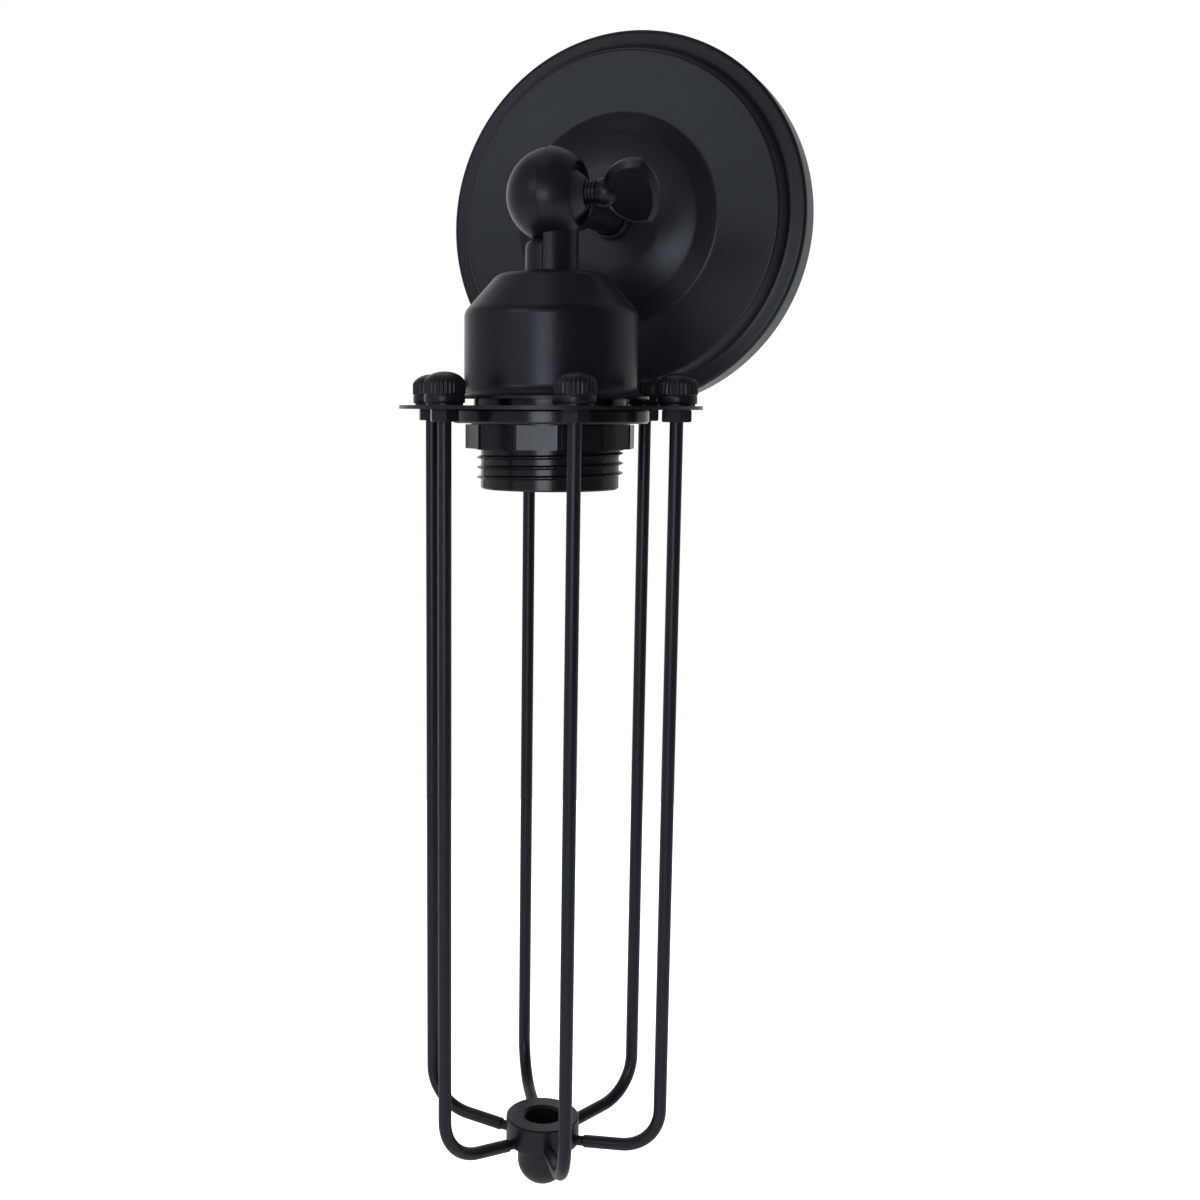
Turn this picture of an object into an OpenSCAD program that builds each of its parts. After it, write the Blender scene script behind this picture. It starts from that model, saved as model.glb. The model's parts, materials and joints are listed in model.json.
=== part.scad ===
// Cage wall light: a round wall plate carries a split ball knuckle, and the lamp cup, the
// lampholder and a cage of six bent rods hang from it.
// Origin at the middle of the plate's back, on the wall. The room is towards -Y, up is +Z.
// Most parts turn about the lamp's own axis: their heights are "drops" below the ball's centre.

/* [Wall plate] */
// Diameter of the plate
plate_d = 112; // [100:0.5:130]
// How far the outer rim stands off the wall
rim_h = 12; // [9:0.5:15]
// How far the flat field stands off the wall
field_h = 18; // [16:0.5:22]
// How far the raised centre stands off the wall
centre_h = 23; // [22:0.5:27]
// Radius of the step's foot, on the rim
step_foot_r = 51.2; // [45:0.1:52]
// Radius of the step's top, on the field
step_top_r = 49.2; // [43:0.1:51]
// Radius of the foot of the raised centre
centre_foot_r = 31; // [28:0.5:38]
// Radius of the flat top of the raised centre
centre_flat_r = 20; // [15:0.5:22]
// Thickness of the sheet
plate_t = 1.5; // [1:0.1:2]

/* [Bracket] */
// Width of the wall strap
strap_w = 22; // [18:1:24]
// Distance between the two wall slots
slot_spacing = 72; // [66:1:78]
// Width of a wall slot
slot_w = 4.6; // [4:0.1:5.5]
// Length of a wall slot from end to end
slot_len = 10; // [8:0.5:12]
// Diameter of the cable hole in the strap
cable_hole_d = 14; // [10:0.5:16]

/* [Knuckle] */
// Distance of the ball's centre from the wall
arm_reach = 74; // [66:1:90]
// Diameter of the ball's wall half
ball_d = 24.8; // [24:0.2:28]
// Diameter of both stems
stem_d = 14.3; // [13:0.1:15]
// Length of both stems, from the ball's centre
stem_len = 20.4; // [19:0.2:24]
// Length of the collar on the plate
collar_len = 3.2; // [2:0.1:6]
// Diameter of the collar
collar_d = 12.6; // [12:0.1:16]
// Gap between the two halves of the ball
seam_gap = 0.2; // [0.1:0.05:0.5]
// Room between a half ball and the other half's stem
scallop_gap = 0.4; // [0.2:0.05:1]
// Diameter of the clamp screw's shank
shank_d = 5; // [4:0.5:6]
// How far the paddle leans from upright
paddle_lean = 38; // [0:1:90]

/* [Lamp cup and lampholder] */
// Diameter of the cup's wall
cup_d = 47; // [45:0.5:50]
// Drop of the underside of the cup's flared lip
cup_lip = 53.7; // [52:0.1:54.5]
// Diameter of the flared lip
lip_d = 53.6; // [51:0.2:56]
// Thickness of the cup's wall
cup_t = 1; // [0.7:0.1:1.2]
// Diameter of the lampholder's shoulder
shoulder_d = 41.8; // [41:0.1:44]
// Outer diameter of the skirt's thread
thread_d = 40.2; // [39:0.1:40.6]
// Diameter of the skirt below the shade ring
skirt_d = 37.8; // [37:0.1:39]
// Drop of the skirt's open end
skirt_end = 78; // [74:0.5:84]
// Diameter of the shade ring's flange
flange_d = 53.8; // [50:0.2:58]
// Facets round the shade ring's grip, with a slot at each corner
grip_facets = 12; // [8:1:12]

/* [Cage] */
// Diameter of the ring plate
ring_d = 82.4; // [80:0.2:88]
// Drop of the ring plate's top face
ring_drop = 55.5; // [54.5:0.1:58]
// Thickness of the ring plate
ring_t = 1; // [0.8:0.1:1.5]
// Number of rods
rod_count = 6; // [6:1:6]
// Diameter of a rod
rod_d = 3.6; // [3:0.1:4]
// Radius of the circle that the rods stand on
rod_circle_r = 35.5; // [34.5:0.1:36]
// Radius of a rod's bend, to its middle
bend_r = 13; // [8:0.5:20]
// How far a rod still falls towards the hub after its bend
foot_slope = 7; // [0:0.5:12]
// Drop of the hub's top
hub_top = 262; // [240:1:280]
// Diameter of the hub
hub_d = 21.4; // [20:0.2:24]
// Diameter of the cap nuts
cap_nut_d = 10.6; // [9.5:0.1:11]
// Height of the cap nuts
cap_nut_h = 8.1; // [7.5:0.1:9]

/* [Hidden] */
$fn = 96;
slack = 0.05;             // radial room between a thread or pin and its hole
cut = 0.5;                // how far a cutting shape runs past the face that it opens
big = 60;                 // side of a block that cuts a part in two

plate_r = plate_d / 2;
strap_t = 1.5;
tab_reach = 10;           // how far the bent tabs stand off the wall
tab_z = plate_r - plate_t - 1.4;
grub_r = 1.5;
grub_len = 5;
grub_h = 6;               // height of the set screws off the wall
earth_z = 20;
earth_r = 2;
block_z = -22;            // middle of the terminal block
pole_pitch = 10;
pole_w = 7.2;
pole_l = 17;
pole_h = 11;
wire_h = 5.6;             // height of the wire tubes over the strap
wire_r = 2.4;
web_h = 5;                // height of the web between the poles
fix_r = 1.25;
fix_x = pole_pitch / 2;

ball_r = ball_d / 2;
stem_r = stem_d / 2;
shank_r = shank_d / 2;
pipe_r = 5;               // M10 threaded tube, outside
pipe_bore_r = 3.4;        // and inside
pipe_af = 14;             // across the flats of its nut
stem_in = 8.8;            // how far a tube goes into a stem
nipple_in = 13;           // where the arm's tube starts, off the wall
arm_washer_t = 1.5;
arm_nut_t = 5;
wire_bore_r = 3.25;
post_r = 4.6;             // middle post of each half ball, round the clamp screw
cavity_r = 9;             // wire passage round that post
dome_r = 12.8;            // the lamp half is a flatter dome, from a ball moved off the seam
dome_shift = 1.57;
dome_foot_r = sqrt(dome_r * dome_r - dome_shift * dome_shift);
shoulder_r = 2.4;         // round shoulder of a stem, on the other half's side
shoulder_z = 13.9;
face_x = 7.8;             // the lamp half is faced off there
recess_r = 8.2;           // round recess in that face
recess_floor = 5.8;
cone_top = 9.7;
neck_start = cone_top + 0.1;
neck_end = 12.85;
neck_pitch = 0.93;
boss_r = 3.9;
boss_x = 14.6;            // where the boss is widest
boss_tip = 18.7;
paddle_x = 23.5;
paddle_r = 9.15;
paddle_end_r = 13.6;      // flatter arc of the paddle's far end
paddle_end_x = 29.55;
paddle_t = 4;
paddle_rim_t = 1.4;
paddle_bevel = 1.5;

cup_top = stem_len;
cup_r = cup_d / 2;
lip_r = lip_d / 2;
lip_t = 0.7;
cup_nut_t = 4;
cap_top = cup_top + cup_t + cup_nut_t + 0.2;
shoulder_top = 49.5;
block_drop = 45.5;
block_end = 56;
contact_drop = 54.5;      // floor of the recess round the centre contact
shell_r = 14.1;
shell_bore_r = 13.35;
shell_end = 76.5;
skirt_bore_r = 16.5;
flange_t = 3.7;
groove_t = 0.4;
grip_r = 23.3;
grip_end = 67;

rod_r = rod_d / 2;
rod_top = 50.2;
neck_r = 1.4;             // turned-down end of a rod
washer_t = 0.5;
washer_r = 4.8;
nut_af = 7;
nut_t = 3.2;
hub_r = hub_d / 2;
hub_end = hub_top + 10;
foot_drop = hub_top + 6;  // where a rod's middle line meets the hub's side
bend_angle = 90 - foot_slope;
bend_end_r = rod_circle_r - bend_r * (1 - cos(bend_angle));
bend_end_drop = foot_drop - (bend_end_r - hub_r) * tan(foot_slope);
bend_drop = bend_end_drop - bend_r * sin(bend_angle);
hub_bore_r = 5.2;
finial_r = 7.25;
finial_h = 3.8;

// Points of an arc about (cx, cy), from angle a0 to a1
function arc(cx, cy, rx, ry, a0, a1, n = 8) =
  [for (i = [0:n]) let (a = a0 + (a1 - a0) * i / n) [cx + rx * cos(a), cy + ry * sin(a)]];

// A profile's height runs out from the wall
module on_wall() { rotate([90, 0, 0]) children(); }

// The origin moves to the ball's centre, or to a point that far below it
module hang(drop = 0) { translate([0, -arm_reach, -drop]) children(); }

// A part turned about the lamp's axis, from points of radius and drop
module turned(points) { hang() rotate_extrude() polygon([for (p = points) [p[0], -p[1]]]); }

// A cylinder or cone along X
module x_rod(r0, x0, x1, r1 = -1) {
  translate([x0, 0, 0]) rotate([0, 90, 0])
    cylinder(r1 = r0, r2 = r1 < 0 ? r0 : r1, h = x1 - x0);
}

// Up or down, for the two ends of the plate
module at_end(side) { rotate([0, side < 0 ? 180 : 0, 0]) children(); }

module at_rod(i) { rotate([0, 0, i * 360 / rod_count]) children(); }

module tube(r, bore, h) {
  difference() {
    cylinder(r = r, h = h);
    translate([0, 0, -cut]) cylinder(r = bore, h = h + 2 * cut);
  }
}

// A hexagon nut with turned corners
module nut(af, bore, h) {
  c = af * 0.07;
  r = af * 0.51;
  difference() {
    intersection() {
      cylinder(r = af / 2 / cos(30), h = h, $fn = 6);
      union() {
        cylinder(r1 = r, r2 = r + 1.8 * c, h = c);
        translate([0, 0, c]) cylinder(r = r + 1.8 * c, h = h - 2 * c);
        translate([0, 0, h - c]) cylinder(r1 = r + 1.8 * c, r2 = r, h = c);
      }
    }
    translate([0, 0, -cut]) cylinder(r = bore, h = h + 2 * cut);
  }
}

// A slotted screw that points down, with its head's underside at the origin
module pan_screw(r, len, head_r, head_h) {
  difference() {
    union() {
      translate([0, 0, -len]) cylinder(r = r, h = len + head_h / 2);
      cylinder(r1 = head_r, r2 = head_r * 0.85, h = head_h);
    }
    translate([-head_r - 1, -0.4, head_h * 0.5]) cube([2 * head_r + 2, 0.8, head_h]);
  }
}

// ---- Wall side ----

module wall_plate() {
  edge = 1.2;
  soft = 0.9;
  rise = centre_h - field_h;
  run = centre_foot_r - centre_flat_r;
  front = concat(
    [[plate_r, 0]],
    arc(plate_r - edge, rim_h - edge, edge, edge, 0, 90, 5),
    [[step_foot_r + 0.3, rim_h], [step_foot_r, rim_h + 0.3]],
    arc(step_top_r - soft + 0.3, field_h - soft, soft, soft, 18, 90, 4),
    arc(centre_flat_r, field_h, run, rise, 0, 90, 12),
    [[pipe_r + 0.2, centre_h]]);
  back = concat(
    [[pipe_r + 0.2, centre_h - plate_t]],
    arc(centre_flat_r, field_h - plate_t, run - plate_t, rise, 90, 0, 12),
    [[step_top_r - plate_t, field_h - plate_t],
     [step_foot_r - plate_t, rim_h - plate_t],
     [plate_r - plate_t, rim_h - plate_t],
     [plate_r - plate_t, 0]]);
  color("dimgray") difference() {
    on_wall() rotate_extrude() polygon(concat(front, back));
    for (side = [-1, 1])
      at_end(side) translate([0, -grub_h, plate_r - 4]) cylinder(r = grub_r + slack, h = 8);
  }
}

// Strap with two bent tabs; slots, cable hole and tapped holes go through it
module mounting_bracket() {
  through = strap_t + 2 * cut;
  color("silver") difference() {
    union() {
      translate([-strap_w / 2, -strap_t, -tab_z]) cube([strap_w, strap_t, 2 * tab_z]);
      for (side = [-1, 1])
        at_end(side) translate([-strap_w / 2, -tab_reach, tab_z - strap_t])
          cube([strap_w, tab_reach, strap_t]);
    }
    for (side = [-1, 1]) {
      at_end(side) translate([0, -grub_h, tab_z - strap_t - cut])
        cylinder(r = grub_r + slack, h = through);
      translate([0, cut, side * slot_spacing / 2]) {
        for (end = [-1, 1])
          translate([0, 0, end * (slot_len - slot_w) / 2]) on_wall()
            cylinder(d = slot_w, h = through);
        translate([-slot_w / 2, -through, -(slot_len - slot_w) / 2])
          cube([slot_w, through, slot_len - slot_w]);
      }
    }
    translate([0, cut, 0]) on_wall() cylinder(d = cable_hole_d, h = through);
    translate([0, cut, earth_z]) on_wall() cylinder(r = earth_r + slack, h = through);
    translate([fix_x, cut, block_z]) on_wall() cylinder(r = fix_r + slack, h = through);
  }
}

module grub_screws() {
  color("darkgray") for (side = [-1, 1])
    at_end(side) translate([0, -grub_h, plate_r - grub_len]) difference() {
      cylinder(r = grub_r, h = grub_len);
      translate([0, 0, grub_len - 1.6]) cylinder(r = 0.87, h = 2, $fn = 6);
    }
}

// Three poles; the wires run up and down in brass tubes, the screws face the room
module terminal_block() {
  color("ivory") translate([0, -strap_t, block_z]) difference() {
    union() {
      for (i = [-1:1])
        translate([i * pole_pitch - pole_w / 2, -pole_h, -pole_l / 2])
          cube([pole_w, pole_h, pole_l]);
      translate([-pole_pitch, -web_h, -pole_l / 2 + 3])
        cube([2 * pole_pitch, web_h, pole_l - 6]);
    }
    for (i = [-1:1]) {
      translate([i * pole_pitch, -wire_h, -pole_l / 2 - cut])
        cylinder(r = wire_r + slack, h = pole_l + 2 * cut);
      for (end = [-1, 1])
        translate([i * pole_pitch, -wire_h, end * 4.5]) on_wall() cylinder(r = 1.9, h = pole_h);
    }
    for (side = [-1, 1]) {
      translate([side * fix_x, cut, 0]) on_wall() cylinder(r = fix_r + slack, h = pole_h);
      translate([side * fix_x, -web_h, 0]) on_wall() cylinder(r = 2.4, h = pole_h);
    }
  }
}

module terminal_tubes() {
  color("gold") for (i = [-1:1])
    translate([i * pole_pitch, -strap_t - wire_h, block_z]) difference() {
      translate([0, 0, 1 - pole_l / 2]) tube(wire_r, 1.5, pole_l - 2);
      for (end = [-1, 1])
        translate([0, 0, end * 4.5]) on_wall() cylinder(r = 1.2 + slack, h = 5);
    }
}

module terminal_screws() {
  color("gold") for (i = [-1:1]) for (end = [-1, 1])
    translate([i * pole_pitch, -strap_t - wire_h - 0.6, block_z + end * 4.5]) on_wall()
      difference() {
        cylinder(r = 1.2, h = 3.2);
        translate([-2, -0.3, 2.5]) cube([4, 0.6, 1]);
      }
}

module terminal_fixing_screw() {
  color("silver") translate([fix_x, -strap_t - web_h, block_z]) on_wall()
    pan_screw(fix_r, web_h + strap_t - 0.2, 2.2, 1.6);
}

module earth_washer() {
  color("gold") translate([0, -strap_t, earth_z]) on_wall() tube(4.5, earth_r + slack, 0.8);
}

module earth_screw() {
  color("gold") translate([0, -strap_t - 0.8, earth_z]) on_wall()
    pan_screw(earth_r, 2.2, 3.8, 2.4);
}

module arm_nipple() {
  color("dimgray") translate([0, -nipple_in, 0]) on_wall()
    tube(pipe_r, pipe_bore_r, arm_reach - stem_len + stem_in - 1.4 - nipple_in);
}

module arm_washer() {
  color("silver") translate([0, arm_washer_t + plate_t - centre_h, 0]) on_wall()
    tube(9.5, pipe_r + slack, arm_washer_t);
}

module arm_nut() {
  color("silver") translate([0, arm_washer_t + plate_t + arm_nut_t - centre_h, 0]) on_wall()
    nut(pipe_af, pipe_r + slack, arm_nut_t);
}

module arm_collar() {
  e = 0.4;
  b = pipe_r + slack;
  r = collar_d / 2;
  color("dimgray") translate([0, -centre_h, 0]) on_wall() rotate_extrude() polygon(concat(
    [[b, 0], [r - e, 0], [r, e]],
    arc(r - e, collar_len - e, e, e, 0, 90, 4),
    [[b + e, collar_len], [b, collar_len - e]]));
}

// ---- Knuckle: a ball split in two, and each half has its own stem ----

// Everything on one side of the seam; side -1 is the wall half, 1 the lamp half
module one_side(side) {
  translate([side * (seam_gap + big) / 2, 0, 0]) cube([big, big, big], center = true);
}

// What a stem loses on the other half's side: a round scallop, in which the other half ball
// turns, and a round shoulder
module scallop(side) {
  difference() {
    union() {
      sphere(r = (side > 0 ? ball_r : dome_foot_r) + scallop_gap);
      rotate_extrude() polygon(concat(
        arc(stem_r - shoulder_r, shoulder_z, shoulder_r, shoulder_r, -90, 0, 10),
        [[stem_r + 1, shoulder_z], [stem_r + 1, 4], [stem_r - shoulder_r, 4]]));
    }
    one_side(side);
  }
}

// A half ball and its stem, which points along +Z here
module half_ball(side, cavity_end) {
  difference() {
    union() {
      intersection() {
        if (side > 0) translate([-dome_shift, 0, 0]) rotate([0, 0, 180]) sphere(r = dome_r);
        if (side < 0) sphere(r = ball_r);
        one_side(side);
      }
      difference() {
        cylinder(r = stem_r, h = stem_len);
        scallop(side);
      }
    }
    // wire passage, open at the seam
    difference() {
      x_rod(cavity_r, min(side * cavity_end, -side), max(side * cavity_end, -side));
      x_rod(post_r, -20, 20);
    }
    translate([0, 0, post_r + 1]) cylinder(r = wire_bore_r, h = stem_len);
    translate([0, 0, stem_len - stem_in]) cylinder(r = pipe_r + slack, h = stem_in + cut);
  }
}

module knuckle_wall_half() {
  color("dimgray") hang() difference() {
    rotate([-90, 0, 0]) half_ball(-1, 7);
    x_rod(shank_r + slack, -9, 5);
  }
}

module knuckle_lamp_half() {
  line_w = 0.35;
  line_t = 0.4;
  line_top = ball_r - 1;
  color("dimgray") hang() difference() {
    rotate([180, 0, 0]) half_ball(1, 3.8);
    x_rod(shank_r + 0.1, -5, 10);
    x_rod(recess_r, recess_floor, 20);
    x_rod(ball_r, face_x, 20);
    // parting line down the stem
    for (face = [-1, 1])
      translate([-line_w / 2, face * stem_r - line_t, -cup_top - cut])
        cube([line_w, 2 * line_t, cup_top + cut - line_top]);
  }
}

module cone_washer() {
  color("gray") hang() difference() {
    x_rod(7.2, recess_floor, cone_top, 3.9);
    x_rod(shank_r + 0.1, 0, 20);
  }
}

// A disc with bevelled edges
module bevelled_disc(r) {
  half_t = paddle_t / 2;
  half_rim = paddle_rim_t / 2;
  inner = r - paddle_bevel;
  rotate_extrude() polygon([
    [0, -half_t], [inner, -half_t], [r, -half_rim],
    [r, half_rim], [inner, half_t], [0, half_t]]);
}

// The paddle is a disc whose far end has a flatter arc, with a corner at each side
module paddle() {
  intersection() {
    translate([paddle_x, 0, 0]) bevelled_disc(paddle_r);
    translate([paddle_end_x - paddle_end_r, 0, 0]) bevelled_disc(paddle_end_r);
  }
}

// Shank, a ringed neck, a boss with a round nose, and the paddle
module thumb_screw() {
  color("dimgray") hang() {
    x_rod(shank_r, -8.5, neck_start);
    x_rod(2.8, neck_start, neck_end);
    for (i = [0:2])
      x_rod(3.3, neck_start + 0.25 + i * neck_pitch, neck_start + 0.8 + i * neck_pitch);
    rotate([0, 90, 0]) rotate_extrude() polygon(concat(
      [[0, neck_end], [3.3, neck_end], [3.5, neck_end + 0.2]],
      arc(0, boss_x, boss_r, boss_tip - boss_x, 0, 90, 12)));
    rotate([90 + paddle_lean, 0, 0]) paddle();
  }
}

// ---- Lamp cup and lampholder ----

module lamp_cup() {
  flat_r = 12.5;
  top_r = 4.2;
  side_r = 3.5;
  side_drop = 32;
  turn = -42;
  flare = 2.8;
  y0 = cup_lip - lip_t - flare;
  color("dimgray") turned(concat(
    [[pipe_r + 0.2, cup_top]],
    arc(flat_r, cup_top + top_r, top_r, top_r, -90, turn, 6),
    arc(cup_r - side_r, side_drop, side_r, side_r, turn, 0, 6),
    arc(lip_r, y0, lip_r - cup_r, flare, 180, 90, 8),
    arc(lip_r, y0, lip_r - cup_r + cup_t, flare + lip_t, 90, 180, 8),
    arc(cup_r - side_r, side_drop, side_r - cup_t, side_r - cup_t, 0, turn, 6),
    arc(flat_r, cup_top + top_r, top_r - cup_t, top_r - cup_t, turn, -90, 6),
    [[pipe_r + 0.2, cup_top + cup_t]]));
}

module lamp_nipple() {
  end = cap_top + 5.9;
  color("goldenrod") hang(end) tube(pipe_r, pipe_bore_r, end - stem_len + stem_in - 1.4);
}

module cup_lock_nut() {
  color("silver") hang(cup_top + cup_t + cup_nut_t) nut(pipe_af, pipe_r + slack, cup_nut_t);
}

module lampholder_cap() {
  t = 1.5;
  r = shoulder_d / 2 - 0.5;
  neck = 8.5;
  color("dimgray") turned(concat(
    [[pipe_r + slack, cap_top], [neck, cap_top], [neck, cap_top + 2.4]],
    arc(r - 8, 40, 8, 7, -70, 0, 6),
    [[r, shoulder_top], [r - t, shoulder_top]],
    arc(r - 8, 40, 8 - t, 7 - t, 0, -70, 6),
    [[neck, cap_top + 4.9], [pipe_r + slack, cap_top + 4.9]]));
}

// Insulating block that carries the contacts; its flange is held on the skirt's top
module contact_block() {
  color("whitesmoke") difference() {
    turned([[0, block_drop], [18.5, block_drop], [18.5, shoulder_top], [16.3, shoulder_top],
      [16.3, block_end], [8, block_end], [8, contact_drop], [0, contact_drop]]);
    for (side = [-1, 1]) {
      hang(block_drop + 5) translate([side * 11, 0, 0]) cylinder(r = 1.5 + slack, h = 6);
      hang(block_drop + 2.5) translate([side * 11 - 3.5, -9, 0]) cube([7, 18, 5]);
    }
  }
}

module holder_terminal_screws() {
  color("gold") for (side = [-1, 1])
    hang(block_drop + 2.5) translate([side * 11, 0, 0]) pan_screw(1.5, 2.3, 2.9, 2);
}

module screw_shell() {
  color("gold") turned([[9, block_end], [shell_r, block_end], [shell_r, shell_end],
    [shell_bore_r, shell_end], [shell_bore_r, block_end + 0.7], [9, block_end + 0.7]]);
}

// Sprung tongue, riveted to the block
module centre_contact() {
  t = 0.5;
  color("gold") hang(contact_drop) {
    translate([-5.5, -2, -t]) cube([6, 4, t]);
    translate([0.2, -2, -t]) rotate([0, 12, 0]) cube([5.3, 4, t]);
    translate([-3.5, 0, -t - 0.6]) cylinder(r = 1.4, h = 0.7);
  }
}

module lampholder_skirt() {
  top = shoulder_top;
  color("dimgray") turned([[skirt_bore_r, top], [shoulder_d / 2 - 0.3, top],
    [shoulder_d / 2, top + 0.3], [shoulder_d / 2, ring_drop], [thread_d / 2, ring_drop],
    [thread_d / 2, grip_end + 0.4], [skirt_d / 2, grip_end + 0.4],
    [skirt_d / 2, skirt_end - 0.4], [skirt_d / 2 - 0.4, skirt_end],
    [skirt_bore_r, skirt_end]]);
}

module shade_ring() {
  r = flange_d / 2;
  y0 = ring_drop + ring_t;
  y1 = y0 + flange_t;
  e = 0.5;
  b = thread_d / 2 + slack;
  grip_h = grip_end - y1 - groove_t;
  grip_turn = -3.5;
  slot_wide = 1.3;
  slot_deep = 0.7;
  color("dimgray") difference() {
    union() {
      turned([[b, y0], [r - e, y0], [r, y0 + e], [r, y1 - e], [r - e, y1],
        [grip_r - 1.6, y1], [grip_r - 1.6, y1 + groove_t], [b, y1 + groove_t]]);
      hang(grip_end) rotate([0, 0, grip_turn]) cylinder(r = grip_r, h = grip_h, $fn = grip_facets);
    }
    hang(grip_end + cut) cylinder(r = b, h = grip_end - y0 + 2 * cut);
    for (i = [0:grip_facets - 1])
      hang(grip_end + cut) rotate([0, 0, grip_turn + i * 360 / grip_facets])
        translate([grip_r - slot_deep, -slot_wide / 2, 0])
          cube([2, slot_wide, grip_h + cut + groove_t / 2]);
  }
}

// ---- Cage ----

module cage_ring() {
  color("dimgray") hang(ring_drop + ring_t) difference() {
    tube(ring_d / 2, thread_d / 2 + 0.1, ring_t);
    for (i = [0:rod_count - 1])
      at_rod(i) translate([rod_circle_r, 0, -cut]) cylinder(r = rod_r + 0.1, h = ring_t + 2 * cut);
  }
}

// Straight down, round the bend, then in to the hub, where the end is turned down. The foot is
// a hair thinner than the bend and starts just inside it.
module cage_rod(i) {
  taper = 0.6;
  start = 12.6;
  stop = 8.2;
  lap = 0.2;
  foot_r = rod_r - 0.01;
  run = (bend_end_r - start) / cos(foot_slope);
  color("dimgray") hang() at_rod(i) {
    translate([rod_circle_r, 0, -bend_drop]) cylinder(r = rod_r, h = bend_drop - rod_top);
    translate([rod_circle_r - bend_r, 0, -bend_drop]) rotate([-90, 0, 0])
      rotate_extrude(angle = bend_angle) translate([bend_r, 0]) circle(r = rod_r);
    translate([bend_end_r, 0, -bend_end_drop]) rotate([0, -90 - foot_slope, 0]) {
      translate([0, 0, -lap]) cylinder(r = foot_r, h = lap + run - taper);
      translate([0, 0, run - taper]) cylinder(r1 = foot_r, r2 = neck_r, h = taper);
      translate([0, 0, run]) cylinder(r = neck_r, h = (start - stop) / cos(foot_slope));
    }
  }
}

module cage_rod_1() { cage_rod(0); }
module cage_rod_2() { cage_rod(1); }
module cage_rod_3() { cage_rod(2); }
module cage_rod_4() { cage_rod(3); }
module cage_rod_5() { cage_rod(4); }
module cage_rod_6() { cage_rod(5); }

module ring_washers() {
  color("dimgray") hang(ring_drop) for (i = [0:rod_count - 1])
    at_rod(i) translate([rod_circle_r, 0, 0]) tube(washer_r, rod_r + 0.1, washer_t);
}

// Domed nut with a plain band, a fine groove and a band for knurling
module cap_nuts() {
  r = cap_nut_d / 2;
  band = 1.5;
  knurl = 4.9;
  c = 0.3;
  color("dimgray") hang(ring_drop - washer_t) for (i = [0:rod_count - 1])
    at_rod(i) translate([rod_circle_r, 0, 0]) difference() {
      rotate_extrude() polygon(concat(
        [[0, 0], [r - c, 0], [r, c], [r, band], [r - 0.4, band + 0.15], [r, band + 0.3],
         [r, knurl]],
        arc(0, knurl, r - 0.3, cap_nut_h - knurl, 0, 90, 8)));
      translate([0, 0, -cut]) cylinder(r = rod_r + slack, h = 5 + cut);
    }
}

module hex_nuts() {
  color("dimgray") hang(ring_drop + ring_t + nut_t) for (i = [0:rod_count - 1])
    at_rod(i) translate([rod_circle_r, 0, 0]) nut(nut_af, rod_r + slack, nut_t);
}

module hub_ring() {
  e = 0.4;
  sink = 0.7;
  side_end = hub_top + 7.6;
  color("dimgray") difference() {
    turned([[hub_bore_r + sink, hub_top], [hub_r - e, hub_top], [hub_r, hub_top + e],
      [hub_r, side_end], [7.6, hub_end], [hub_bore_r, hub_end],
      [hub_bore_r, hub_top + sink]]);
    hang() for (i = [0:rod_count - 1])
      at_rod(i) translate([hub_r, 0, -foot_drop]) rotate([0, -90 - foot_slope, 0])
        translate([0, 0, -2]) cylinder(r = neck_r + slack, h = 4.9);
  }
}

module finial() {
  r = hub_bore_r - slack;
  color("dimgray") turned(concat(
    [[0, hub_end - 4.5], [r - 0.4, hub_end - 4.5], [r, hub_end - 4.1], [r, hub_end],
     [finial_r, hub_end]],
    arc(0, hub_end + finial_h, finial_r, finial_r, 0, 90, 24)));
}

wall_plate();
mounting_bracket();
grub_screws();
terminal_block();
terminal_tubes();
terminal_screws();
terminal_fixing_screw();
earth_washer();
earth_screw();
arm_nipple();
arm_washer();
arm_nut();
arm_collar();
knuckle_wall_half();
knuckle_lamp_half();
cone_washer();
thumb_screw();
lamp_cup();
lamp_nipple();
cup_lock_nut();
lampholder_cap();
contact_block();
screw_shell();
centre_contact();
holder_terminal_screws();
lampholder_skirt();
shade_ring();
cage_ring();
cage_rod_1();
cage_rod_2();
cage_rod_3();
cage_rod_4();
cage_rod_5();
cage_rod_6();
ring_washers();
cap_nuts();
hex_nuts();
hub_ring();
finial();
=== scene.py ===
import json
import math

import bmesh
import bpy
from mathutils import Matrix, Vector


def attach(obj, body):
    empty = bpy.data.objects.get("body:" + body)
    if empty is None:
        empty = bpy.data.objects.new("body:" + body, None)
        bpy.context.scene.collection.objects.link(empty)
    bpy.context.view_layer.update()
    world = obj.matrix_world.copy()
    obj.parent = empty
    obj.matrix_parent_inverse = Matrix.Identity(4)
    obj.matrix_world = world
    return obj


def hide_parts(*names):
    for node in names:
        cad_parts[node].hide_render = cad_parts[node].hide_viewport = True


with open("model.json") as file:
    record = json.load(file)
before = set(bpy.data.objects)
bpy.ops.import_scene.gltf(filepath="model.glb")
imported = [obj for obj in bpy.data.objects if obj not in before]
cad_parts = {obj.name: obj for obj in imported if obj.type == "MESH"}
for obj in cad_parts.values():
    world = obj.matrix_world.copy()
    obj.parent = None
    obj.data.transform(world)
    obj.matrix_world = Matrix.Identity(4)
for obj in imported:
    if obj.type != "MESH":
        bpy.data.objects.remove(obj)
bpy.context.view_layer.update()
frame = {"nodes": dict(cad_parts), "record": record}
nodes = frame["nodes"]
record = frame["record"]

MM = 0.001
REACH = 74 * MM  # the ball's centre, off the wall


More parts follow.
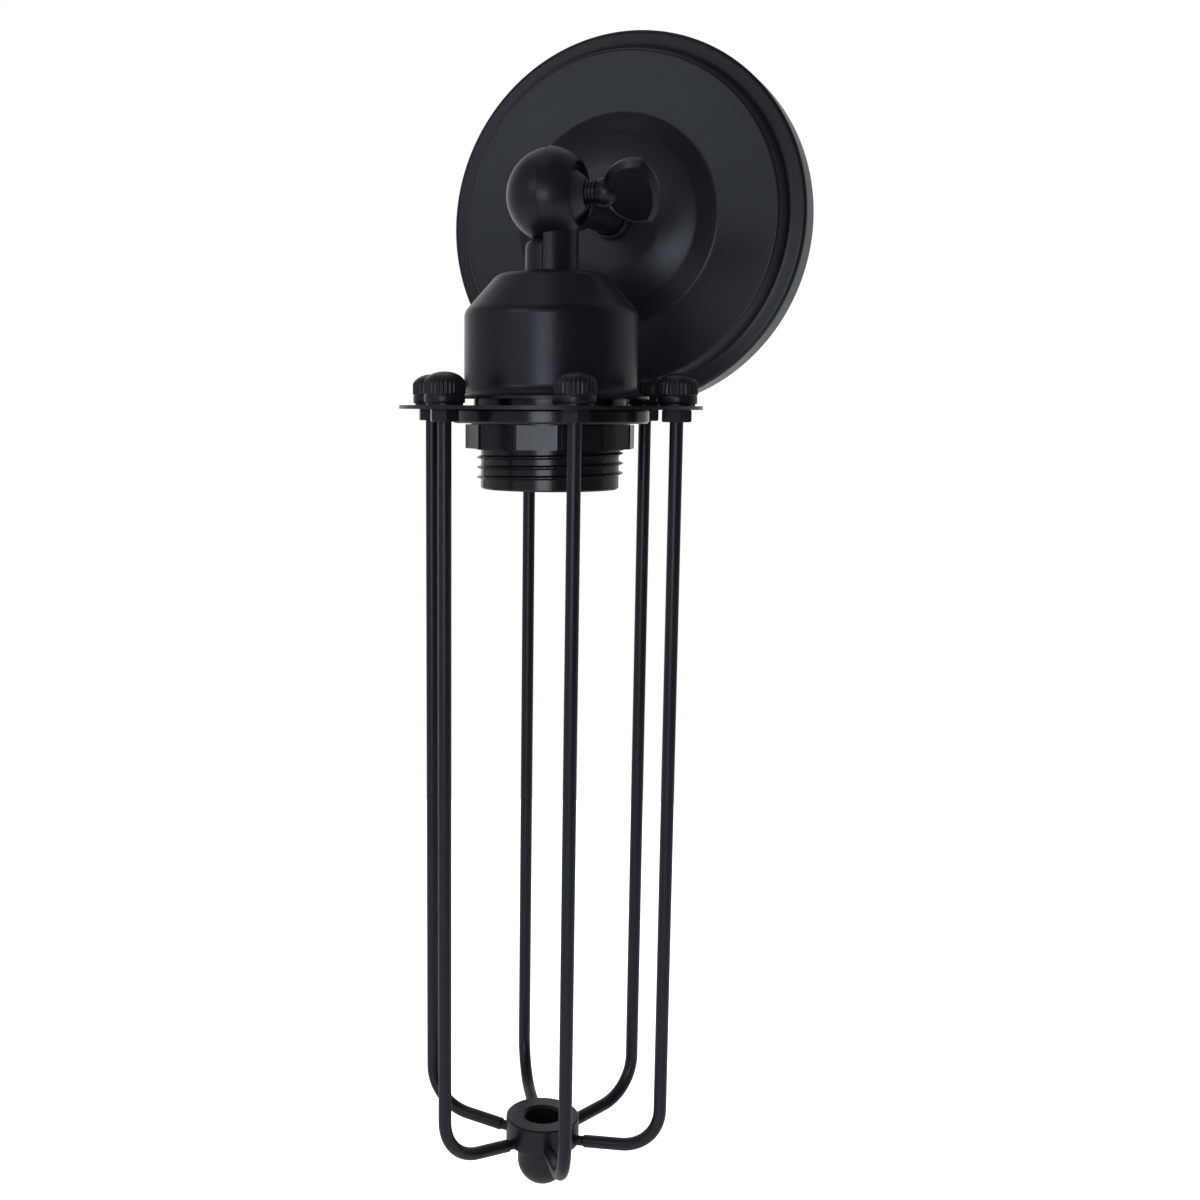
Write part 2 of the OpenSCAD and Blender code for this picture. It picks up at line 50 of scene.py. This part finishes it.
# ---------------------------------------------------------------- materials
class Nodes:
    """Short names for building a node tree."""

    def __init__(self, tree):
        self.tree = tree
        tree.nodes.clear()

    def add(self, kind, **values):
        n = self.tree.nodes.new(kind)
        for key, v in values.items():
            setattr(n, key, v)
        return n

    def link(self, a, b):
        self.tree.links.new(a, b)

    def set(self, node, **values):
        for key, v in values.items():
            node.inputs[key.replace("_", " ")].default_value = v


def noise(t, coord, scale, detail=2.0, rough=0.5):
    n = t.add("ShaderNodeTexNoise")
    t.set(n, Scale=scale, Detail=detail, Roughness=rough)
    t.link(coord, n.inputs["Vector"])
    return n.outputs["Fac"]


def ramp(t, fac, a, b, lo=0.3, hi=0.7):
    """Runs from the colour a to the colour b as fac goes from lo to hi."""
    r = t.add("ShaderNodeValToRGB")
    for stop, place, colour in zip(r.color_ramp.elements, (lo, hi), (a, b)):
        stop.position = place
        stop.color = (*colour, 1)
    t.link(fac, r.inputs["Fac"])
    return r.outputs["Color"]


def span(t, fac, to_min, to_max, from_min, from_max):
    """Maps from_min..from_max to to_min..to_max, and clamps."""
    m = t.add("ShaderNodeMapRange")
    t.set(m, From_Min=from_min, From_Max=from_max, To_Min=to_min, To_Max=to_max)
    t.link(fac, m.inputs["Value"])
    return m.outputs["Result"]


def surface(name, dark, pale, rough, grain, grain_depth, metallic=0.0, tint=(1, 1, 1), patch=60.0):
    """A principled material. Its colour and roughness vary in soft patches of about 1/patch
    metres. Its grain is a fine bump, 1/grain metres wide and grain_depth millimetres deep."""
    m = bpy.data.materials.new(name)
    m.use_nodes = True
    t = Nodes(m.node_tree)
    out = t.add("ShaderNodeOutputMaterial")
    p = t.add("ShaderNodeBsdfPrincipled")
    coord = t.add("ShaderNodeTexCoord").outputs["Object"]
    soft = noise(t, coord, patch, 3.0, 0.55)
    t.link(ramp(t, soft, dark, pale), p.inputs["Base Color"])
    fine = noise(t, coord, grain, 2.0, 0.6)
    mixed = t.add("ShaderNodeMath", operation="ADD")
    t.link(soft, mixed.inputs[0])
    t.link(fine, mixed.inputs[1])
    t.link(span(t, mixed.outputs[0], *rough, 0.6, 1.4), p.inputs["Roughness"])
    bump = t.add("ShaderNodeBump")
    t.set(bump, Strength=1.0, Distance=grain_depth * MM)
    t.link(fine, bump.inputs["Height"])
    t.link(bump.outputs["Normal"], p.inputs["Normal"])
    t.set(p, Metallic=metallic, Specular_Tint=(*tint, 1))
    t.link(p.outputs[0], out.inputs["Surface"])
    return m


# The tint keeps the paint's reflections cool where it faces the eye and white at its edges.
PAINT = dict(grain=1400.0, grain_depth=0.012, patch=45.0, tint=(0.78, 0.86, 1.0))
LOOKS = {
    "plate_paint": dict(dark=(0.0044, 0.0055, 0.0080), pale=(0.0062, 0.0076, 0.0108),
                        rough=(0.30, 0.38), **PAINT),
    "knuckle_paint": dict(dark=(0.0042, 0.0052, 0.0076), pale=(0.0058, 0.0070, 0.0100),
                          rough=(0.30, 0.38), **PAINT),
    # Painted shade: the thumb screw has the same black paint as the knuckle, made darker so its
    # paddle looks as shaded as it does under this light.
    "thumb_screw_paint": dict(dark=(0.0030, 0.0038, 0.0056), pale=(0.0042, 0.0052, 0.0075),
                              rough=(0.28, 0.36), **PAINT),
    "cup_paint": dict(dark=(0.0044, 0.0055, 0.0080), pale=(0.0062, 0.0076, 0.0106),
                      rough=(0.28, 0.37), **PAINT),
    "cage_paint": dict(dark=(0.0050, 0.0060, 0.0082), pale=(0.0070, 0.0084, 0.0110),
                       rough=(0.28, 0.38), **PAINT),
    "nut_metal": dict(dark=(0.0048, 0.0058, 0.0076), pale=(0.0068, 0.0080, 0.0102),
                      rough=(0.26, 0.38), **PAINT),
    "hub_paint": dict(dark=(0.0046, 0.0056, 0.0076), pale=(0.0066, 0.0078, 0.0104),
                      rough=(0.30, 0.42), **PAINT),
    "holder_plastic": dict(dark=(0.0052, 0.0062, 0.0078), pale=(0.0080, 0.0092, 0.0110),
                           rough=(0.18, 0.25), tint=(0.84, 0.91, 1.0),
                           patch=80.0, grain=900.0, grain_depth=0.0012),
    "washer_metal": dict(dark=(0.012, 0.0135, 0.016), pale=(0.020, 0.022, 0.025),
                         rough=(0.28, 0.4), tint=(0.8, 0.88, 1.0),
                         patch=200.0, grain=1800.0, grain_depth=0.006),
    "zinc_steel": dict(dark=(0.50, 0.51, 0.52), pale=(0.66, 0.67, 0.67), rough=(0.28, 0.44),
                       metallic=1.0, patch=220.0, grain=3000.0, grain_depth=0.004),
    "dark_steel": dict(dark=(0.03, 0.03, 0.032), pale=(0.06, 0.06, 0.064), rough=(0.3, 0.45),
                       metallic=0.9, grain=3000.0, grain_depth=0.004),
    "brass": dict(dark=(0.60, 0.42, 0.16), pale=(0.76, 0.56, 0.24), rough=(0.22, 0.38),
                  metallic=1.0, patch=150.0, grain=2600.0, grain_depth=0.003),
    "terminal_plastic": dict(dark=(0.70, 0.68, 0.60), pale=(0.78, 0.76, 0.68), rough=(0.42, 0.55),
                             patch=120.0, grain=1800.0, grain_depth=0.01),
    "contact_ceramic": dict(dark=(0.72, 0.70, 0.66), pale=(0.80, 0.79, 0.75), rough=(0.30, 0.45),
                            patch=120.0, grain=1500.0, grain_depth=0.01),
}
looks = {name: surface(name, **values) for name, values in LOOKS.items()}
slot_of = {s["node"]: s["material_slot"] for s in record["subparts"]}
for name, o in nodes.items():
    o.data.materials.clear()
    o.data.materials.append(looks[slot_of[name]])


# ---------------------------------------------------------------- fine pieces
# Profiles are (radius, height or drop) in millimetres.
def piece(name, mesh, body, slot, at=(0, -REACH, 0), smooth=True):
    o = bpy.data.objects.new(name, mesh)
    bpy.context.scene.collection.objects.link(o)
    o.location = at
    mesh.materials.append(looks[slot])
    if smooth:
        for f in mesh.polygons:
            f.use_smooth = True
    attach(o, body)
    return o


def grid_mesh(name, rows, closed_u=False, closed_v=False):
    """A mesh from rows of points; u runs along a row, v from row to row."""
    nv, nu = len(rows), len(rows[0])
    points = [p for row in rows for p in row]
    faces = []
    for v in range(nv if closed_v else nv - 1):
        for u in range(nu if closed_u else nu - 1):
            a, b = v * nu + u, v * nu + (u + 1) % nu
            c, d = (v + 1) % nv * nu + (u + 1) % nu, (v + 1) % nv * nu + u
            faces.append((a, b, c, d))
    me = bpy.data.meshes.new(name)
    me.from_pydata(points, [], faces)
    me.update()
    return me


def merged(name, parts):
    """One mesh from several, each moved by its own matrix, with its faces turned outwards."""
    bm = bmesh.new()
    for me, m in parts:
        start = len(bm.verts)
        bm.from_mesh(me)
        bm.verts.ensure_lookup_table()
        bmesh.ops.transform(bm, matrix=m, verts=bm.verts[start:])
    bmesh.ops.recalc_face_normals(bm, faces=bm.faces)
    me = bpy.data.meshes.new(name)
    bm.to_mesh(me)
    bm.free()
    return me


def circle(n):
    """n angles round a full turn."""
    return [2 * math.pi * k / n for k in range(n)]


def arc(cx, cy, rx, ry, a0, a1, n):
    """Points of an arc about (cx, cy), from angle a0 to a1, both in degrees."""
    turns = [math.radians(a0 + (a1 - a0) * i / n) for i in range(n + 1)]
    return [(cx + rx * math.cos(a), cy + ry * math.sin(a)) for a in turns]


def clamp(v, lo=0.0, hi=1.0):
    return min(hi, max(lo, v))


def sharpen(me, degrees):
    """Keeps edges sharper than this angle crisp."""
    bm = bmesh.new()
    bm.from_mesh(me)
    for e in bm.edges:
        e.smooth = len(e.link_faces) == 2 and e.calc_face_angle(0.0) < math.radians(degrees)
    bm.to_mesh(me)
    bm.free()


def drill(o, at, way, r, length, segments=32):
    """Drills a round hole in the direction way, with its middle at this place."""
    bm = bmesh.new()
    bmesh.ops.create_cone(bm, cap_ends=True, segments=segments, radius1=r, radius2=r, depth=length)
    turn = Vector(way).to_track_quat("Z", "Y").to_matrix().to_4x4()
    bmesh.ops.transform(bm, matrix=Matrix.Translation(at) @ turn, verts=bm.verts)
    me = bpy.data.meshes.new("drill")
    bm.to_mesh(me)
    bm.free()
    tool = bpy.data.objects.new("drill", me)
    bpy.context.scene.collection.objects.link(tool)
    mod = o.modifiers.new("drill", "BOOLEAN")
    mod.operation, mod.solver, mod.object = "DIFFERENCE", "EXACT", tool
    bpy.context.view_layer.update()
    depsgraph = bpy.context.evaluated_depsgraph_get()
    done = bpy.data.meshes.new_from_object(o.evaluated_get(depsgraph))
    o.modifiers.clear()
    o.data = done
    bpy.data.objects.remove(tool)


# ---- wall plate: the pressed sheet with its creases, a flat middle that curves down from a soft
# crease, a straight steeper shoulder below a crisp one and a rim that falls a little outwards
def plate_mesh():
    top, field, rim = 23.0, 18.0, 12.0  # heights off the wall
    sheet, bore_r, outer_r = 1.5, 5.2, 56.0
    middle_r, shoulder_r = 14.9, 25.7
    corner, edge_r = 0.9, 1.2  # the roundings of the field's border and of the rim
    slope, bend = 0.09, 0.11

    def curved(t):
        return top - (shoulder_r - middle_r) * (slope * t + bend * t * t)

    shoulder_h = curved(1.0)
    front = [(bore_r, top), (6.4, top), (middle_r - 1.0, top), (middle_r - 0.4, top - 0.01)]
    front += [(middle_r + (shoulder_r - middle_r) * t, curved(t))
              for t in (0.04 + 0.92 * k / 16 for k in range(17))]
    front += [(shoulder_r, shoulder_h - 0.02), (shoulder_r + 0.4, shoulder_h - 0.22)]
    front += [(30.75, field + 0.16), (31.1, field + 0.04), (31.6, field), (32.4, field),
              (46.0, field), (48.4, field)]
    front += arc(48.6, field - corner, corner, corner, 90, 18, 6)
    front += [(51.15, rim + 0.45), (51.3, rim + 0.2), (51.6, rim + 0.1), (52.2, rim + 0.05),
              (54.3, rim - 0.12)]
    front += arc(54.8, rim - edge_r, edge_r, 1.06, 86, 0, 6)
    front += [(outer_r, 9.0), (outer_r, 0.25), (55.75, 0.0)]
    back = [(54.75, 0.0), (54.5, 0.25), (54.5, rim - 1.6), (49.7, rim - sheet),
            (47.7, field - sheet), (30.2, field - sheet), (25.2, shoulder_h - 1.6),
            (20.0, top - 2.2), (14.5, top - sheet), (bore_r, top - sheet)]
    rows = [[(r * MM * math.cos(a), -h * MM, r * MM * math.sin(a)) for a in circle(192)]
            for r, h in front + back]
    return merged("plate_sheet", [(grid_mesh("sheet", rows, True, True), Matrix())])


plate = piece("plate_sheet", plate_mesh(), "wall_body", "plate_paint", at=(0, 0, 0))
for side in (-1, 1):  # the holes for the two set screws
    drill(plate, (0, -6 * MM, side * 54 * MM), (0, 0, 1), 1.55 * MM, 8 * MM)
sharpen(plate.data, 38)
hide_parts("wall_plate")


# ---- cap nuts: straight knurls, which fade out in the dome, over a plain band with a fine line
NUT_R, NUT_BORE_R, TEETH = 5.3, 1.87, 30
NUT_CIRCLE_R, NUT_DROP, NUTS = 35.5, 55.0, 6
LINE_DEPTH = KNURL_DEPTH = 0.13
nut_profile = [(NUT_BORE_R, 5.0), (NUT_BORE_R, 0.0), (NUT_R - 0.3, 0.0), (NUT_R - 0.09, 0.09),
               (NUT_R, 0.3), (NUT_R, 1.4), (NUT_R, 1.95), (NUT_R - 0.03, 2.05),
               (NUT_R - LINE_DEPTH, 2.12), (NUT_R - LINE_DEPTH, 2.22), (NUT_R - 0.03, 2.29)]
nut_profile += [(NUT_R, 2.4 + 0.25 * k) for k in range(11)]
nut_profile += arc(0, 4.95, NUT_R, 3.15, 4, 90, 16)


def knurl(a, z):
    """How far a tooth stands out, or its groove goes in, at the angle a and the height z."""
    phase = a * TEETH / (2 * math.pi) % 1.0
    tooth = clamp(2.6 * abs(2 * phase - 1) - 1.3, -1.0, 1.0)
    fade = clamp((z - 2.3) / 0.25) * clamp(6.5 - z)
    return KNURL_DEPTH * tooth * fade


def knurled_nut():
    rows = []
    for r, z in nut_profile:
        row = []
        for a in circle(TEETH * 8):
            q = r + (knurl(a, z) if r > 4 else 0)
            row.append((q * MM * math.cos(a), q * MM * math.sin(a), z * MM))
        rows.append(row)
    return grid_mesh("nut", rows, closed_u=True)


one_nut = knurled_nut()
stand = Matrix.Translation((NUT_CIRCLE_R * MM, 0, -NUT_DROP * MM))
spots = [Matrix.Rotation(math.radians(360 / NUTS * i), 4, "Z") @ stand for i in range(NUTS)]
nuts = piece("knurled_cap_nuts", merged("knurled_cap_nuts", [(one_nut, m) for m in spots]),
             "lamp", "nut_metal")
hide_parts("cap_nuts")


# ---- screw shell: a thin sheet with a rolled lamp thread, open at the foot
def shell_mesh():
    top, foot = 56.0, 76.5  # drops
    pitch, sheet, mean_r, wave_depth = 3.629, 0.3, 13.72, 0.23
    drops = [top + 0.9 + 0.22 * k for k in range(88)]

    def rolled(drop, a, side):
        fade = clamp((drop - 58.0) / 2.2) * clamp((foot - 0.4 - drop) / 1.6)
        wave = math.cos(2 * math.pi * drop / pitch + a)
        return mean_r + wave_depth * wave * fade + side * sheet / 2

    def ring(drop, radius):
        return [(radius(a) * MM * math.cos(a), radius(a) * MM * math.sin(a), -drop * MM)
                for a in circle(120)]

    def plain(r, drop):
        return ring(drop, lambda a: r)

    rows = [plain(9.0, top), plain(13.4, top), plain(13.7, top + 0.15)]
    rows += [ring(d, lambda a: rolled(d, a, 1)) for d in drops]
    rows += [plain(14.05, foot), plain(13.6, foot)]
    rows += [ring(d, lambda a: rolled(d, a, -1)) for d in reversed(drops)]
    rows += [plain(13.3, top + 0.7), plain(13.0, top + 0.6), plain(9.0, top + 0.6)]
    return merged("screw_shell_sheet", [(grid_mesh("sheet", rows, True, True), Matrix())])


shell = piece("screw_shell_sheet", shell_mesh(), "lamp", "brass")
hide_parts("screw_shell")


# ---- the lampholder skirt's thread, right-handed
def thread_mesh():
    """A fin that winds down from top to bottom (drops) and fades at both ends."""
    root_r, tip_r, pitch = 18.9, 20.05, 2.67
    top, bottom = 66.0, 75.6
    half_root, half_tip = 0.62, 0.1
    sunk_r = root_r - 0.3  # its root stands in the sleeve
    seen_drop = 68.23  # the drop at which its crest passes an azimuth of 20 degrees
    phase = 20 + 360 * (seen_drop - top) / pitch
    steps, fade_steps = 72, 10
    n = int((bottom - top) / pitch * steps)
    rows = []
    for i in range(n + 1):
        drop = top + (bottom - top) * i / n
        a = math.radians(phase) - 2 * math.pi * (drop - top) / pitch
        r_tip = root_r + (tip_r - root_r) * min(1.0, i / fade_steps, (n - i) / fade_steps)
        section = ((sunk_r, half_root), (root_r, half_root), (r_tip, half_tip),
                   (r_tip, -half_tip), (root_r, -half_root), (sunk_r, -half_root))
        rows.append([(r * MM * math.cos(a), r * MM * math.sin(a), (z - drop) * MM)
                     for r, z in section])
    me = grid_mesh("skirt_thread", rows)
    bm = bmesh.new()
    bm.from_mesh(me)
    bm.verts.ensure_lookup_table()
    for start in (0, n * 6):
        bm.faces.new([bm.verts[start + k] for k in range(6)])
    bmesh.ops.recalc_face_normals(bm, faces=bm.faces)
    bm.to_mesh(me)
    bm.free()
    return me


piece("skirt_thread", thread_mesh(), "lamp", "holder_plastic", smooth=False)


# ---------------------------------------------------------------- camera
def add_camera():
    """The camera solved from the photograph: its place, its turns and its lens."""
    px, focal_px, centre_x, centre_y = 1200, 1443.407, 485.746, 633.345
    yaw, pitch, roll = 0.395, 0.156, 0.004
    sensor = 36
    ahead = Vector((-math.sin(yaw) * math.cos(pitch), math.cos(yaw) * math.cos(pitch),
                    -math.sin(pitch)))
    level = Vector((math.cos(yaw), math.sin(yaw), 0))
    upright = level.cross(ahead)
    right = math.cos(roll) * level + math.sin(roll) * upright
    up = math.cos(roll) * upright - math.sin(roll) * level
    cam = bpy.data.cameras.new("camera")
    o = bpy.data.objects.new("camera", cam)
    bpy.context.scene.collection.objects.link(o)
    m = Matrix((right, up, -ahead)).transposed().to_4x4()
    m.translation = Vector((137.4, -448.683, -55.754)) * MM
    o.matrix_world = m
    cam.sensor_fit = "HORIZONTAL"
    cam.sensor_width = sensor
    cam.lens = focal_px / px * sensor
    cam.shift_x = (px / 2 - centre_x) / px
    cam.shift_y = (centre_y - px / 2) / px
    cam.clip_start = 0.01
    cam.clip_end = 50
    bpy.context.scene.camera = o


add_camera()


# ---------------------------------------------------------------- light
def area(name, at, target, size, power):
    light = bpy.data.lights.new(name, "AREA")
    light.shape = "RECTANGLE"
    light.size, light.size_y = size
    light.energy = power
    o = bpy.data.objects.new(name, light)
    bpy.context.scene.collection.objects.link(o)
    o.location = at
    o.rotation_euler = (Vector(target) - Vector(at)).to_track_quat("-Z", "Y").to_euler()


area("front_box", (0.235, -1.39, -0.12), (0, -0.06, -0.05), (0.52, 0.38), 2.2)
area("left_box", (-0.51, -1.31, 0.36), (0, -0.05, 0.0), (0.6, 0.34), 1.1)
area("top_box", (-0.2, -0.4, 1.4), (0, -0.05, -0.1), (0.8, 0.6), 0.4)

DIFFUSE_LIGHT = 0.7
# Azimuth in degrees (-90 is the room's side, 90 the wall's) and how bright glossy rays find it
STUDIO = [(-180, 0.35), (-150, 0.35), (-120, 0.4), (-95, 0.3), (-70, 0.12), (-50, 0.06),
          (-20, 0.02), (8, 0.02), (30, 0.3), (75, 0.4), (90, 0.8), (135, 1.0), (155, 0.5),
          (180, 0.35)]


def build_world():
    """Camera rays see white. Glossy rays see a studio that is white behind the object, dimmer
    in front and darkest to the right, and that dims with height. Other rays get an even light."""
    w = bpy.data.worlds.new("studio")
    bpy.context.scene.world = w
    w.use_nodes = True
    t = Nodes(w.node_tree)
    out = t.add("ShaderNodeOutputWorld")
    path = t.add("ShaderNodeLightPath")
    coord = t.add("ShaderNodeTexCoord")
    xyz = t.add("ShaderNodeSeparateXYZ")
    t.link(coord.outputs["Generated"], xyz.inputs[0])
    angle = t.add("ShaderNodeMath", operation="ARCTAN2")
    t.link(xyz.outputs["Y"], angle.inputs[0])
    t.link(xyz.outputs["X"], angle.inputs[1])
    turn = span(t, angle.outputs[0], 0.0, 1.0, -math.pi, math.pi)
    r = t.add("ShaderNodeValToRGB")
    stops = r.color_ramp.elements
    stops[0].position, stops[1].position = 0.0, 1.0
    for _ in STUDIO[1:-1]:
        stops.new(0.5)
    for stop, (degrees, v) in zip(stops, STUDIO):
        stop.position = (degrees + 180) / 360
        stop.color = (v, v, v, 1)
    t.link(turn, r.inputs["Fac"])
    dim = t.add("ShaderNodeVectorMath", operation="SCALE")
    t.link(r.outputs["Color"], dim.inputs[0])
    t.link(span(t, xyz.outputs["Z"], 1.0, 0.5, 0.15, 0.6), dim.inputs["Scale"])
    studio = t.add("ShaderNodeBackground")
    t.link(dim.outputs[0], studio.inputs["Color"])
    white = t.add("ShaderNodeBackground")
    t.set(white, Color=(1, 1, 1, 1))
    low = t.add("ShaderNodeBackground")
    t.set(low, Color=(1, 1, 1, 1), Strength=DIFFUSE_LIGHT)
    shiny = t.add("ShaderNodeMath", operation="MAXIMUM")
    t.link(path.outputs["Is Glossy Ray"], shiny.inputs[0])
    t.link(path.outputs["Is Transmission Ray"], shiny.inputs[1])

    def mix(fac, a, b):
        n = t.add("ShaderNodeMixShader")
        for k, socket in enumerate((fac, a, b)):
            t.link(socket, n.inputs[k])
        return n.outputs[0]

    unseen = mix(shiny.outputs[0], low.outputs[0], studio.outputs[0])
    seen = mix(path.outputs["Is Camera Ray"], unseen, white.outputs[0])
    t.link(seen, out.inputs["Surface"])


def build_floor():
    """A pale floor below the lamp; the camera sees it as white, with the lamp's soft shadow."""
    drop, radius, glow_strength = 0.6, 1.5, 0.96
    bm = bmesh.new()
    bmesh.ops.create_circle(bm, cap_ends=True, segments=96, radius=radius)
    me = bpy.data.meshes.new("floor")
    bm.to_mesh(me)
    bm.free()
    o = bpy.data.objects.new("floor", me)
    bpy.context.scene.collection.objects.link(o)
    o.location = (0, 0, -drop)
    m = bpy.data.materials.new("floor")
    m.use_nodes = True
    t = Nodes(m.node_tree)
    out = t.add("ShaderNodeOutputMaterial")
    path = t.add("ShaderNodeLightPath")
    base = t.add("ShaderNodeBsdfDiffuse")
    coord = t.add("ShaderNodeTexCoord").outputs["Object"]
    pale = ramp(t, noise(t, coord, 3.0), (0.72, 0.72, 0.72), (0.76, 0.76, 0.76))
    t.link(pale, base.inputs["Color"])
    glow = t.add("ShaderNodeEmission")
    t.set(glow, Strength=glow_strength)
    both = t.add("ShaderNodeAddShader")
    t.link(base.outputs[0], both.inputs[0])
    t.link(glow.outputs[0], both.inputs[1])
    mix = t.add("ShaderNodeMixShader")
    t.link(path.outputs["Is Camera Ray"], mix.inputs[0])
    t.link(base.outputs[0], mix.inputs[1])
    t.link(both.outputs[0], mix.inputs[2])
    t.link(mix.outputs[0], out.inputs["Surface"])
    me.materials.append(m)


build_world()
build_floor()
bpy.context.scene.view_settings.view_transform = "Standard"
